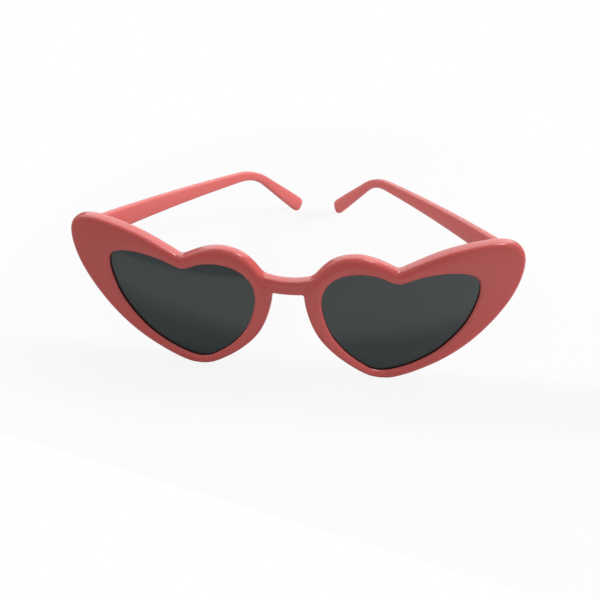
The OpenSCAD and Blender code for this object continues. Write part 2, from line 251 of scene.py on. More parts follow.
# %% [markdown]
# ## Sums on node sockets
# A node tree soon holds a hundred Math nodes. The class below wraps one output socket, so a sum such
# as `1 - mask * 0.5` is written as it reads and adds its own nodes. Any other node comes from one
# method, which sets the node's choices first and then its sockets. Geometry trees and materials
# share the class, because both use the same Math node.


# %% A socket that takes part in sums
class Wire:
    """An output socket of a node tree."""

    def __init__(self, tree, socket=None):
        self.tree = tree
        self.socket = socket

    def node(self, kind, settings=None, sockets=None, out=0):
        """Adds a node, sets its choices and then its sockets, and gives one of its outputs."""
        node = self.tree.nodes.new(kind)
        for key, value in (settings or {}).items():
            setattr(node, key, value)
        for key, value in (sockets or {}).items():
            if isinstance(value, Wire):
                self.tree.links.new(value.socket, node.inputs[key])
            else:
                node.inputs[key].default_value = value
        return Wire(self.tree, node.outputs[out])

    def out(self, name):
        """Another output of the same node."""
        return Wire(self.tree, self.socket.node.outputs[name])

    def math(self, operation, *others):
        """One Math node on this socket and the others."""
        return self.node("ShaderNodeMath", {"operation": operation}, dict(enumerate((self,) + others)))

    def clamped(self):
        """Held between 0 and 1."""
        return self.node("ShaderNodeMath", {"operation": "ADD", "use_clamp": True}, {0: self, 1: 0.0})

    def eased(self):
        """Rises from 0 to 1 with a soft start and a soft end."""
        part = self.clamped()
        return part * part * (3 - 2 * part)

    def mix(self, low, high):
        """A colour between two colours: low where this socket is 0, high where it is 1."""
        return self.node("ShaderNodeMix", {"data_type": "RGBA"}, {0: self, 6: low, 7: high}, out=2)

    def vector(self, **parts):
        """A vector from values for its X, Y and Z."""
        return self.node("ShaderNodeCombineXYZ", None, parts)

    def __add__(self, other):
        return self.math("ADD", other)

    __radd__ = __add__

    def __sub__(self, other):
        return self.math("SUBTRACT", other)

    def __rsub__(self, other):
        return self * -1.0 + other

    def __mul__(self, other):
        return self.math("MULTIPLY", other)

    __rmul__ = __mul__

    def __truediv__(self, other):
        return self.math("DIVIDE", other)

    def __rtruediv__(self, other):
        return self.math("POWER", -1.0) * other

    def __pow__(self, other):
        return self.math("POWER", other)


# %% [markdown]
# ## Moulded plastic
# The real plastic is dyed right through, so its colour hardly varies: a slow drift where the melt
# flowed, and a paler, duller line on edges that hands have rubbed. The paler colour on the edges is
# partly that wear and partly a painted sheen on the rounded lips and rolls. Its gloss comes from a
# polished mould, with a faint orange peel, fine handling scratches and a thin haze of fingerprints.
# All of it reads Object coordinates, which are metres here, so every pattern has its real scale.
#
# One recipe makes three plastics: the front's, a paler and less mirroring one for the temples, and
# a duller one for the pads. The temples' paler colour is painted light: they are the front's
# plastic, made paler to stand in for the bright light on the lit temple.


# %% Coral plastic
def new_material(name):
    """An empty node material, its starting wire and its Object coordinates."""
    material = bpy.data.materials.new(name)
    material.use_nodes = True
    material.node_tree.nodes.clear()
    start = Wire(material.node_tree)
    return material, start, start.node("ShaderNodeTexCoord", out="Object")


def close_material(start, shader):
    """Ends a material with its surface."""
    output = start.tree.nodes.new("ShaderNodeOutputMaterial")
    start.tree.links.new(shader.socket, output.inputs["Surface"])


def principled(start, sockets):
    """A Principled surface with these sockets set or linked."""
    return start.node("ShaderNodeBsdfPrincipled", None, sockets)


def bump(start, height, strength, distance):
    """A normal from heights between 0 and 1, where 1 stands for the distance in millimetres."""
    sockets = {"Strength": strength, "Distance": distance * MM, "Height": height}
    return start.node("ShaderNodeBump", None, sockets, "Normal")


def noise(start, place, scale, detail=2.0):
    """Smooth random values from 0 to 1; scale is in patches per metre."""
    return start.node("ShaderNodeTexNoise", None, {"Vector": place, "Scale": scale, "Detail": detail})


def scratches(start, place, angle, scale, share):
    """Thin straight lines in one direction, on a share of the surface."""
    stretch, sharpness, patch_scale, patch_contrast = 0.04, 6, 90.0, 5
    # turned about all three axes, so that the lines cross every face at a slant
    turned = start.node("ShaderNodeMapping", None, {
        "Vector": place, "Rotation": (angle, angle * 0.7, angle * 1.9),
        "Scale": (scale, scale * stretch, scale)})
    lines = noise(start, turned, 1.0, 1.0)
    patches = noise(start, place, patch_scale)
    thin = ((lines - (1 - share)) * (1 / share) * sharpness).clamped()
    return thin * ((patches - 0.5) * patch_contrast).clamped()


# patches per metre of each pattern in the plastic
drift_scale, rub_and_sheen_scale, haze_scale, speck_scale = 28.0, 240.0, 70.0, 900.0
peel_scale, fine_peel_scale = 420.0, 1400.0
# how strongly the drift and the specks vary the tone, about its mean
drift_contrast, speck_contrast, mean_tone = 0.9, 0.08, 0.3
# least rubbing and painted sheen of an edge, what its patches add, and how patchy the fingerprints are
rub_and_sheen_least, rub_and_sheen_patches, haze_level, haze_contrast = 0.6, 0.8, 0.4, 2
# how far the tone, and the rubbing with its painted sheen, may move the colour towards its paler one
tone_paleness, rub_and_sheen_paleness = 0.35, 0.5
# how much each trace of use adds to the roughness
haze_rough, scratch_rough, rub_rough, speck_rough = 0.035, 0.04, 0.06, 0.02
# the fine peel's height and a scratch's depth, against the coarse peel's height
fine_peel_height, scratch_depth = 0.4, 0.12


def coral_plastic(name, colour, pale, gloss, rub_and_sheen_share, ior=1.54):
    """Dyed moulded plastic between two tones; gloss is its roughness, ior how much it mirrors."""
    material, start, place = new_material(name)
    drift = noise(start, place, drift_scale, 3.0)
    speck = noise(start, place, speck_scale)
    worn = start.node("ShaderNodeAttribute", {"attribute_name": "worn"}, out="Fac")
    patches = rub_and_sheen_least + rub_and_sheen_patches * noise(start, place, rub_and_sheen_scale)
    # paler edges: partly rubbing wear, partly a painted sheen on the rounded lips and rolls
    rubbed_and_sheen = (worn * worn * patches * rub_and_sheen_share).clamped()
    scratch = scratches(start, place, angle=0.6, scale=2600.0, share=0.16)
    scratch = scratch + scratches(start, place, angle=2.1, scale=2300.0, share=0.14)
    tone = ((drift - 0.5) * drift_contrast + mean_tone + (speck - 0.5) * speck_contrast).clamped()
    base = (tone * tone_paleness).mix(colour, pale)
    base = (rubbed_and_sheen * rub_and_sheen_paleness).mix(base, pale)
    haze = ((noise(start, place, haze_scale) - haze_level) * haze_contrast).clamped()
    rough = gloss + haze * haze_rough + scratch * scratch_rough + rubbed_and_sheen * rub_rough
    rough = rough + (speck - 0.5) * speck_rough
    peel = noise(start, place, fine_peel_scale, 1.0) * fine_peel_height
    peel = peel + noise(start, place, peel_scale, 1.0) - scratch * scratch_depth
    normal = bump(start, peel, strength=0.07, distance=0.05)
    close_material(start, principled(start, {
        "Base Color": base, "Roughness": rough, "Normal": normal, "IOR": ior}))
    return material


coral = (0.6, 0.073, 0.066, 1)
pale_coral = (0.69, 0.175, 0.16, 1)
# painted light: the temples' plastic is the front's, made paler for the bright light on the lit temple
temple_coral_painted_light = (0.69, 0.138, 0.13, 1)
pale_temple_coral_painted_light = (0.78, 0.24, 0.22, 1)
front_plastic = coral_plastic("coral_front_plastic", coral, pale_coral, gloss=0.25, rub_and_sheen_share=0.5)
temple_plastic_painted_light = coral_plastic(
    "coral_temple_plastic_painted_light", temple_coral_painted_light, pale_temple_coral_painted_light, gloss=0.34, rub_and_sheen_share=0.3, ior=1.34)
pad_plastic = coral_plastic("coral_pad_plastic", coral, pale_coral, gloss=0.38, rub_and_sheen_share=0.6)
print("plastics:", front_plastic.name, temple_plastic_painted_light.name, pad_plastic.name)


# %% [markdown]
# ## Smoke lens and hinge steel
# The lenses are thin tinted plastic. Most of what the eye sees in them is the bright surround
# mirrored at the surface, over a very dark body that still lets a little light through, so the tint
# is almost black and the surface is smooth with a slight smear and a little dust. The hinge parts
# are tumbled steel with a soft satin, and the small screws are brighter.


# %% Lens and steel materials
def smoke_tint(name):
    """Dark tinted plastic that lets a little light through."""
    material, start, place = new_material(name)
    tint_scale, ripple_scale, smear_scale, dust_scale = 25.0, 45.0, 60.0, 2200.0
    deep_tint, thin_tint = (0.004, 0.017, 0.0175, 1), (0.008, 0.023, 0.023, 1)
    dust_grey, dust_cover, dust_rough = (0.4, 0.38, 0.36, 1), 0.06, 0.1
    polish, smear_rough, dust_level, dust_contrast = 0.05, 0.05, 0.74, 12
    smear = ((noise(start, place, smear_scale, 3.0) - 0.5) * 3).clamped()
    dust = ((noise(start, place, dust_scale, 1.0) - dust_level) * dust_contrast).clamped()
    tint = (noise(start, place, tint_scale) * 0.6).mix(deep_tint, thin_tint)
    base = (dust * dust_cover).mix(tint, dust_grey)
    rough = polish + smear * smear_rough + dust * dust_rough
    ripple = bump(start, noise(start, place, ripple_scale, 1.0), strength=0.05, distance=0.1)
    close_material(start, principled(start, {
        "Base Color": base, "Roughness": rough, "Normal": ripple, "IOR": 1.7, "Alpha": 0.96}))
    return material


def satin_steel(name, colour, gloss):
    """Tumbled steel: cloudy grey with a fine grain and brighter edges."""
    material, start, place = new_material(name)
    dull_steel, bright_steel, cloud_scale = (0.2, 0.2, 0.21, 1), (0.7, 0.7, 0.71, 1), 500.0
    cloud_height, grain_rough, worn_polish = 0.5, 0.12, 0.06
    cloud = noise(start, place, cloud_scale, 3.0)
    worn = start.node("ShaderNodeAttribute", {"attribute_name": "worn"}, out="Fac")
    base = (cloud * 0.6).mix(colour, dull_steel)
    base = (worn * 0.6).clamped().mix(base, bright_steel)
    grain = start.node("ShaderNodeMapping", None, {"Vector": place, "Scale": (9000.0, 9000.0, 700.0)})
    lines = noise(start, grain, 1.0)
    normal = bump(start, lines + cloud * cloud_height, strength=0.15, distance=0.02)
    rough = gloss + lines * grain_rough - worn * worn_polish
    close_material(start, principled(start, {
        "Base Color": base, "Metallic": 1.0, "Roughness": rough, "Normal": normal}))
    return material


lens_tint = smoke_tint("smoke_lens_tint")
hinge_steel = satin_steel("hinge_satin_steel", (0.42, 0.42, 0.43, 1), gloss=0.3)
screw_steel = satin_steel("screw_bright_steel", (0.52, 0.52, 0.54, 1), gloss=0.22)
print("lens and metals:", lens_tint.name, hinge_steel.name, screw_steel.name)

# %% [markdown]
# ## The front moulding
# The rims could be cut from a plate with booleans, but the soft rolls that catch the light would
# be lost. Here a coarse cage of four sided faces goes round each opening: one loop of the section
# below at each place on the outline. The cage is opened on the nose sides and the bridge is
# stretched between the two holes, then two rounds of subdivision give smooth rolls and a natural
# fillet where the bridge grows out of the rims.
#
# The section starts at the front lip of the lens groove, goes forward and out over the crowned
# face, round the outer edge, back across the flat back and down into the groove. Each point is a
# share of the way from the opening to the outer edge, plus a step, so the section widens by itself
# towards the wing.

# %% Section of a rim: share of the way across, step in millimetres, depth behind the face
lip_depth = lens_set - lens_play
groove_back = lens_set + lens_t + groove_gap
groove_d = lens_lip + groove_gap * 3
back_corner = 0.2
rim_section = [
    (0, 0, lip_depth), (0, 0, 1.18), (0, 0.17, 0.82), (0, 0.58, 0.48), (0, 1.25, crown - 0.02),
    (0.3, 0.6, 0.1), (0.62, -0.35, 0.08), (1, -edge_r - 0.2, crown - 0.06), (1, -edge_r * 0.72, 0.36),
    (1, -edge_r * 0.34, 0.68), (1, -edge_r * 0.09, 1.15), (1, 0, 1.8), (1, 0, 2.85),
    (1, -0.1, 3.5), (1, -0.42, 3.98), (1, -0.95, rim_t - 0.03), (1, -1.7, rim_t),
    (0.78, -0.85, rim_t), (0.5, 0, rim_t), (0.25, 0.5, rim_t), (0, 1, rim_t),
    (0, 0.42, rim_t - 0.07), (0, 0.06, rim_t - 0.35),
    (0, 0, groove_back + back_corner), (0, 0, groove_back),
    (0, groove_d, groove_back), (0, groove_d, lip_depth)]
cage_steps = 3
# the bridge grows from this span of the outline, and from these faces of the section
window_first, window_spans = 18, 1
window_side, window_sides = 9, 5
# loops of the bridge from the left rim to the right, and how far its underside dips
bridge_shares = [-0.74, -0.46, -0.16, 0.16, 0.46, 0.74]
under_drop = 0.35


def rim_cage():
    """Flat cage points of the right rim: one row of the section at each outline place."""
    inner, outer, across = outlines(cage_steps)
    rows = []
    for share, step, depth in rim_section:
        flat = inner + (outer - inner) * share + across * step
        rows.append(np.column_stack([flat, np.full(len(flat), depth)]))
    return np.stack(rows, 1)


def front_cage():
    """Points and faces of both rims and the bridge between them."""
    rim = rim_cage()
    stations, sides = rim.shape[:2]
    start, span = window_first * cage_steps, window_spans * cage_steps
    right = rim.reshape(-1, 3)
    left = right * np.array([-1, 1, 1])
    faces = ring_faces(stations, sides, closed_rows=True)
    row, side = faces[:, 0] // sides, faces[:, 0] % sides
    in_rows = (row >= start) & (row < start + span)
    in_sides = (side >= window_side) & (side < window_side + window_sides)
    faces = faces[~(in_rows & in_sides)]
    # the hole's edge, in order round it
    across = [(0, j) for j in range(window_sides)]
    down = [(i, window_sides) for i in range(span)]
    back = [(span, j) for j in range(window_sides, 0, -1)]
    up = [(i, 0) for i in range(span, 0, -1)]
    window = across + down + back + up
    edge = np.array([(start + i) * sides + window_side + j for i, j in window])
    top_share = np.array([1 - i / span for i, j in window])
    rings = [len(right) + edge]
    bridge = []
    for share in bridge_shares:
        ring = right[edge].copy()
        ring[:, 0] *= share
        ring[:, 1] -= (1 - share * share) * (under_drop + (bridge_drop - under_drop) * top_share)
        rings.append(2 * len(right) + len(bridge) * len(edge) + np.arange(len(edge)))
        bridge.append(ring)
    rings.append(edge)
    skin = [(a[i], b[i], b[(i + 1) % len(edge)], a[(i + 1) % len(edge)])
            for a, b in zip(rings, rings[1:]) for i in range(len(edge))]
    flat = np.concatenate([right, left] + bridge)
    all_faces = np.concatenate([faces, faces[:, ::-1] + len(right), np.array(skin)])
    return wrap(flat[:, 0], flat[:, 1], flat[:, 2]), all_faces


points, faces = front_cage()
front = add_piece("coral_front", points, faces)
smoothing = front.modifiers.new("smooth rolls", "SUBSURF")
smoothing.levels = smoothing.render_levels = 2
baked(front)
print("front cage:", len(faces), "faces, smoothed:", len(front.data.polygons))

# %% [markdown]
# ## Hinge blocks behind the front
# Each rim carries two raised blocks at its back: a low seat for the metal leaf and a lug that the
# temple's end shuts against. In the mould they rise from the rim with a small fillet. Each is a
# loft of one rounded outline: it starts wide inside the rim, draws in along a quarter circle, goes
# straight up and rounds over at its top. A union then makes one moulding of it all.
#
# A union needs blocks whose skins never cross themselves. The rim's back slopes under the low seat,
# so there the fillet's loops are held below the seat's top and keep their order.

# %% Sizes of the hinge, in millimetres
pin = pins["right_temple"]
# radius of a knuckle, and the gap from it to the temple's inner face
knuckle_r, pass_gap = 1.25, 0.35
# a temple: thickness, height of its butt end, and how far its middle lies below the pin's
temple_t, butt_h, temple_drop = 3.4, 8.4, 0.8
face_x = knuckle_r + pass_gap
seat_y = pin.y - arm_reach
# half the seat's height, and how far it goes in from the pin and out past the temple's face
seat_half_h, seat_in, seat_out = 3.35, 5.9, 1


def rounded_outline(x0, x1, z0, z1, radius, arc=6):
    """Corners rounded by arcs, as x and z, anticlockwise."""
    turns = np.linspace(0, math.pi / 2, arc)
    middle = np.array([(x0 + x1) / 2, (z0 + z1) / 2])
    places = []
    for quarter, corner in enumerate([(x1, z1), (x0, z1), (x0, z0), (x1, z0)]):
        centre = corner - np.copysign(radius, corner - middle)
        angle = turns + quarter * math.pi / 2
        places.append(centre + radius * np.column_stack([np.cos(angle), np.sin(angle)]))
    return np.concatenate(places)


def raised_block(name, box, top_y, flare, top_round, radius):
    """A filleted block on the rim's back, up to top_y; flare is the fillet, radius the corners'."""
    # base inside the rim, room under the top's rounding, rise that keeps held loops in order
    sunk, room, rise = 0.9, 0.05, 0.02
    fillet_loops, top_loops = 6, 5
    outline = rounded_outline(*box, radius)
    ahead, behind = np.roll(outline, -1, axis=0), np.roll(outline, 1, axis=0)
    tangent = (ahead - behind) / np.linalg.norm(ahead - behind, axis=1, keepdims=True)
    outward = np.column_stack([tangent[:, 1], -tangent[:, 0]])
    along = np.arcsin(outline[:, 0] / (front_r - rim_t)) * front_r
    surface = wrap(along, outline[:, 1], rim_t)[:, 1]
    rings = [(outline + outward * flare, surface - sunk)]
    for angle in np.linspace(0, math.pi / 2, fillet_loops):
        grow = flare * (1 - math.sin(angle))
        ceiling = top_y - top_round - room + rise * angle
        lift = np.minimum(surface + flare * (0.5 - math.cos(angle)), ceiling)
        rings.append((outline + outward * grow, lift))
    for angle in np.linspace(0, math.pi / 2, top_loops):
        shrink = top_round * (1 - math.cos(angle))
        lift = np.full(len(outline), top_y - top_round * (1 - math.sin(angle)))
        rings.append((outline - outward * shrink, lift))
    rows = [np.column_stack([flat[:, 0], depth, flat[:, 1]]) for flat, depth in rings]
    around = len(outline)
    faces = [list(face) for face in ring_faces(len(rows), around)]
    faces += [list(range(around)), list(range((len(rows) - 1) * around, len(rows) * around))]
    return add_piece(name, np.concatenate(rows), faces)


lug_z = pin.z - temple_drop
seat_box = (pin.x - seat_in, pin.x + face_x + seat_out, pin.z - seat_half_h, pin.z + seat_half_h)
lug_box = (pin.x + face_x, pin.x + face_x + temple_t, lug_z - butt_h / 2, lug_z + butt_h / 2)
blocks = []
for side in (1, -1):
    seat = raised_block("seat", seat_box, seat_y, flare=0.25, top_round=0.1, radius=0.5)
    lug = raised_block("lug", lug_box, pin.y, flare=0.9, top_round=0.35, radius=0.9)
    for block in (seat, lug):
        if side < 0:
            block.data.transform(Matrix.Scale(-1, 4, Vector((1, 0, 0))))
            tidy(block.data)
        blocks.append(block)
for block in blocks:
    union = front.modifiers.new("union", "BOOLEAN")
    union.operation = "UNION"
    union.solver = "EXACT"
    union.object = block
baked(front)
for block in blocks:
    bpy.data.objects.remove(block)
tidy(front.data)
# edges over thirty degrees, at the blocks' feet, are shaded crisply
front.data.set_sharp_from_angle(angle=math.radians(30))
# rounding in millimetres that counts as a fully worn edge of a moulding
worn_round = 0.9
mark_edges(front, worn_round)
dress(front, "front", front_plastic, "front_frame")

# %% [markdown]
# ## Lenses
# A lens is a thin curved plate, a little larger than the opening, with a bevelled edge that snaps
# into the groove. The plate is built from rings that shrink towards its middle, on the same
# cylinder as the front, so that its reflections run evenly across it.


# %% Two lenses
def lens_piece(name, side):
    """A curved heart shaped plate with bevelled edges."""
    edge_steps, ring_count, bevel = 8, 15, 0.2
    inner, _, across = outlines(edge_steps)
    edge = inner + across * lens_lip
    middle = np.array([opening_x + lens_w * 0.45, base_z + lens_h * 0.56])
    shares = np.linspace(0, 1, ring_count)
    flats = [middle + (edge - across * bevel - middle) * share for share in shares]
    rings = [(flat, lens_set) for flat in flats]
    rings += [(edge, lens_set + bevel), (edge, lens_set + lens_t - bevel)]
    rings += [(flat, lens_set + lens_t) for flat in flats[::-1]]
    rows = [wrap(flat[:, 0] * side, flat[:, 1], depth) for flat, depth in rings]
    piece = add_piece(name, np.concatenate(rows), ring_faces(len(rows), len(edge)))
    piece.data.set_sharp_from_angle(angle=math.radians(35))
    return piece


for label, side in SIDES:
    dress(lens_piece("smoke_lens_" + label, side), "front", lens_tint, "lens_" + label)

# %% [markdown]
# ## Temples
# A temple follows a rule from end to end: a straight run that slopes down and hugs the head, one
# bend over the ear, and a straight tip, while its height narrows to the bend and grows again. That
# is a task for Geometry Nodes: a flat grid is bent into a tube, with one direction along the path
# and the other round a rounded oblong. The inputs are the sizes, so the same tree makes both sides.
#
# In the tree, s is the way along the path, out and up are steps from its middle line, and the grid
# closes to a point at each end, so the butt end and the tip need no caps.


# %% Geometry Nodes helpers
def geometry_tree(name, inputs):
    """A tree with named inputs; gives its starting wire and a wire for each input."""
    tree = bpy.data.node_groups.new(name, "GeometryNodeTree")
    tree.interface.new_socket("Geometry", in_out="OUTPUT", socket_type="NodeSocketGeometry")
    kinds = {int: "NodeSocketInt", float: "NodeSocketFloat"}
    for label, value in inputs.items():
        kind = kinds.get(type(value), "NodeSocketMaterial")
        tree.interface.new_socket(label, in_out="INPUT", socket_type=kind)
    given = Wire(tree).node("NodeGroupInput")
    return tree, given, {label: given.out(label) for label in inputs}


def unit_grid(start, columns, rows):
    """A flat grid, and the share from 0 to 1 of the way along its X and its Y."""
    grid = start.node("GeometryNodeMeshGrid", None, {
        "Size X": 1.0, "Size Y": 1.0, "Vertices X": columns, "Vertices Y": rows}, "Mesh")
    flat = start.node("ShaderNodeSeparateXYZ", None, {0: start.node("GeometryNodeInputPosition")})
    return grid, flat + 0.5, flat.out("Y") + 0.5


def bent(start, grid, place, merge):
    """The grid with its points in their new places and its seams merged."""
    moved = start.node("GeometryNodeSetPosition", None, {"Geometry": grid, "Position": place})
    return start.node("GeometryNodeMergeByDistance", None, {"Geometry": moved, "Distance": merge})


def close_tree(start, geometry, material):
    """Ends a tree with real geometry, smooth shading and a material."""
    real = start.node("GeometryNodeRealizeInstances", None, {"Geometry": geometry})
    smooth = start.node("GeometryNodeSetShadeSmooth", None, {"Geometry": real})
    painted = start.node("GeometryNodeSetMaterial", None, {"Geometry": smooth, "Material": material})
    output = start.tree.nodes.new("NodeGroupOutput")
    start.tree.links.new(painted.socket, output.inputs[0])


def grown(name, tree, values):
    """Runs a tree with its input values and keeps the result as a plain mesh."""
    piece = bpy.data.objects.new(name, bpy.data.meshes.new(name))
    bpy.context.scene.collection.objects.link(piece)
    growth = piece.modifiers.new("growth", "NODES")
    growth.node_group = tree
    for item in tree.interface.items_tree:
        if item.in_out == "INPUT":
            growth[item.identifier] = values[item.name]
    return baked(piece)


# %% Sizes of a temple, in millimetres and radians
fold = math.radians(25.274)
temple_sizes = {
    "Length": 87.0, "Thickness": temple_t, "Butt height": butt_h, "Neck height": 3.8, "Tip height": 6.9,
    "Slope": math.radians(11.7), "Bend": math.radians(35), "Bend radius": 30.0, "Hug radius": 600.0,
    "Tip rounding": 2.7, "Edge rounding": 1.5, "Start gap": 0.15, "Inner face": face_x,
    "Drop": temple_drop, "Fold": fold, "Side": 1.0, "Pin x": pin.x, "Pin y": pin.y, "Pin z": pin.z,
    "Rows": 200, "Around": 41, "Plastic": temple_plastic_painted_light}
print("temples folded in by", round(math.degrees(fold), 1), "degrees")


# %% The tree that bends a grid into a temple
def temple_tree():
    """Temple by its sizes: straight, bend and tip, with the tip's end on the table."""
    tree, start, size = geometry_tree("Folding temple", temple_sizes)
    # rows crowd at both ends by this share; the ends' roundings are superellipses
    crowding, tail_length, tail_width, butt_round = 0.97, 1.3, 0.7, 0.6
    tail_power_h, tail_power_w, butt_power = 2.3, 2.1, 6.0
    # lengths along the path, with the tip long enough to reach the table
    slope, bend, radius = size["Slope"], size["Bend"], size["Bend radius"]
    steep = slope + bend
    sin_slope, cos_slope = slope.math("SINE"), slope.math("COSINE")
    sin_steep, cos_steep = steep.math("SINE"), steep.math("COSINE")
    cut_back = radius * (bend / 2).math("TANGENT")
    bend_len = radius * bend
    straight = size["Length"] - cut_back
    tip_round = size["Tip rounding"]
    end_rise = tip_round * (1 - sin_steep) + (size["Tip height"] / 2 - tip_round) * cos_steep
    tip_l = (size["Pin z"] - size["Drop"] - size["Length"] * sin_slope - end_rise) / sin_steep
    path = straight + bend_len + tip_l - cut_back

    # the grid's X runs along the path, its Y round the section
    grid, u, v = unit_grid(start, size["Rows"], size["Around"])
    theta = v * math.tau
    s = path * (u - (u * math.tau).math("SINE") * (crowding / math.tau))

    # the middle line: back and down in its own plane, and hug, its drift in towards the head
    past_bend = straight + bend_len
    angle = slope + bend * ((s - straight) / bend_len).clamped()
    level = s.math("MINIMUM", straight)
    beyond = (s - past_bend).math("MAXIMUM", 0.0)
    along = level * cos_slope + radius * (angle.math("SINE") - sin_slope) + beyond * cos_steep
    down = level * sin_slope + radius * (cos_slope - angle.math("COSINE")) + beyond * sin_steep
    hugged = s.math("MINIMUM", past_bend)
    hug = (hugged * hugged / 2 + (s - hugged) * hugged) / size["Hug radius"] * -1.0

    # the section's height, and how it closes at both ends
    middle = straight + bend_len / 2
    to_neck = (s / middle).clamped()
    to_tip = ((s - middle) / (path - middle)).eased()
    height = size["Butt height"] + (size["Neck height"] - size["Butt height"]) * to_neck
    height = height + (size["Tip height"] - size["Neck height"]) * to_tip
    tall_tail, wide_tail = tip_round * tail_length, size["Thickness"] * tail_width
    tail_h = ((s - path + tall_tail) / tall_tail).clamped()
    tail_w = ((s - path + wide_tail) / wide_tail).clamped()
    butt = (1 - s / butt_round).clamped()
    butt_close = (1 - butt**butt_power) ** (1 / butt_power)
    close_h = (1 - tail_h**tail_power_h) ** (1 / tail_power_h) * butt_close
    close_w = (1 - tail_w**tail_power_w) ** (1 / tail_power_w) * butt_close

    # a place round the oblong: straight sides joined by round corners
    corner, flatness = size["Edge rounding"] * (1 + to_tip * 0.1), 1.5
    cos_theta, sin_theta = theta.math("COSINE"), theta.math("SINE")
    side_way = (cos_theta * flatness).math("MINIMUM", 1.0).math("MAXIMUM", -1.0)
    up_way = (sin_theta * flatness).math("MINIMUM", 1.0).math("MAXIMUM", -1.0)
    out = ((size["Thickness"] / 2 - corner) * side_way + corner * cos_theta) * close_w
    up = ((height / 2 - corner) * up_way + corner * sin_theta) * close_h

    # the section leans square to the path, except at the upright butt, and the whole then folds
    lean = angle * (s / size["Butt height"]).eased()
    x = size["Inner face"] + size["Thickness"] / 2 + hug + out
    y = (along + up * lean.math("SINE")).math("MAXIMUM", size["Start gap"])
    z = up * lean.math("COSINE") - down - size["Drop"]
    turn_cos, turn_sin = size["Fold"].math("COSINE"), size["Fold"].math("SINE")
    row_x = (size["Pin x"] + x * turn_cos - y * turn_sin) * size["Side"]
    row_y = size["Pin y"] + x * turn_sin + y * turn_cos
    row_z = z + size["Pin z"]
    place = start.vector(X=row_x * MM, Y=row_y * MM, Z=row_z * MM)
    close_tree(start, bent(start, grid, place, 0.002 * MM), size["Plastic"])
    return tree


tree = temple_tree()
print("temple tree:", len(tree.nodes), "nodes")
for label, side in SIDES:
    temple = grown("coral_temple_" + label, tree, {**temple_sizes, "Side": float(side)})
    tidy(temple.data)
    mark_edges(temple, worn_round)
    dress(temple, label + "_temple", temple_plastic_painted_light, "temple_" + label)

# %% [markdown]
# ## Nose pads
# The pads are small smooth bumps behind the nose side of each rim. The solid model holds them as
# faceted hulls, so a copy is remeshed to an even grid and relaxed, which gives it the melted look
# of a moulded pad. Relaxing draws it in a little, so it is then swollen back to its size.


# %% Copies of solid nodes
def node_copy(name, node):
    """A merged copy of a solid node, ready for modifiers."""
    mesh = frame["nodes"][node].data.copy()
    mesh.name = name
    piece = bpy.data.objects.new(name, mesh)
    bpy.context.scene.collection.objects.link(piece)
    tidy(mesh)
    return piece


for label in ("left", "right"):
    pad = node_copy("soft_nose_pad_" + label, "nose_pad_" + label)
    grid = pad.modifiers.new("even grid", "REMESH")
    grid.mode = "VOXEL"
    grid.voxel_size = 0.28 * MM
    relax = pad.modifiers.new("relax", "SMOOTH")
    relax.factor = 0.5
    relax.iterations = 40
    swell = pad.modifiers.new("swell", "DISPLACE")
    swell.mid_level = 0
    swell.strength = 0.3 * MM
    baked(pad)
    tidy(pad.data)
    mark_edges(pad, worn_round)
    dress(pad, "front", pad_plastic, "nose_pad_" + label)

# %% [markdown]
# ## Hinge leaves and pins
# The leaves and the hinge screws have the right shape in the solid model, only with razor edges.
# A copy of each has its flat faces joined and its edges bevelled by less than a tenth of a
# millimetre, which is what tumbling does to small steel parts and what makes them glint.


# %% Softened metal
# rounding in millimetres that counts as a fully worn edge of steel
worn_steel = 0.12


def crisp(piece):
    """Keeps a metal piece's edges sharp in its shading and marks where they are worn bright."""
    piece.data.set_sharp_from_angle(angle=math.radians(32))
    mark_edges(piece, worn_steel)
    return piece


def softened(name, node, width):
    """A copy of a solid node with small bevels on its sharp edges."""
    piece = node_copy(name, node)
    shape = bmesh.new()
    shape.from_mesh(piece.data)
    bmesh.ops.dissolve_limit(shape, angle_limit=math.radians(2), verts=shape.verts, edges=shape.edges)
    shape.to_mesh(piece.data)
    shape.free()
    bevel = piece.modifiers.new("tumbled edges", "BEVEL")
    bevel.width = width * MM
    bevel.segments = 2
    bevel.limit_method = "ANGLE"
    bevel.angle_limit = math.radians(40)
    bevel.use_clamp_overlap = True
    return crisp(baked(piece))


for label in ("left", "right"):
    leaf = softened("hinge_leaf_front_" + label, "front_leaf_" + label, 0.07)
    dress(leaf, "front", hinge_steel, "front_leaf_" + label)
    leaf = softened("hinge_leaf_temple_" + label, "temple_leaf_" + label, 0.07)
    dress(leaf, label + "_temple", hinge_steel, "temple_leaf_" + label)
    screw = softened("hinge_pin_screw_" + label, "hinge_screw_" + label, 0.06)
    dress(screw, "front", screw_steel, "hinge_screw_" + label)

# %% [markdown]
# ## Small leaf screws
# Each leaf is held by two screws with low domed heads and a slot. They repeat, so Geometry Nodes
# place them: a line of points, one screw on each, turned by a seeded random angle as a worker's
# driver would leave it. The head is a grid bent into a dome, and a boolean cuts the slot. A screw
# is made in millimetres and shrunk to metres on its point, because the boolean loses a cut whose
# sides are a few ten-thousandths of a unit long.

# %% The tree that sets screws in a row
screw_sizes = {
    "Count": 2, "Pitch": 3.2, "Head radius": 0.85, "Head height": 0.4, "Shank radius": 0.5,
    "Shank depth": 3.0, "Slot width": 0.22, "Slot depth": 0.2, "Seed": 3, "Steel": screw_steel}


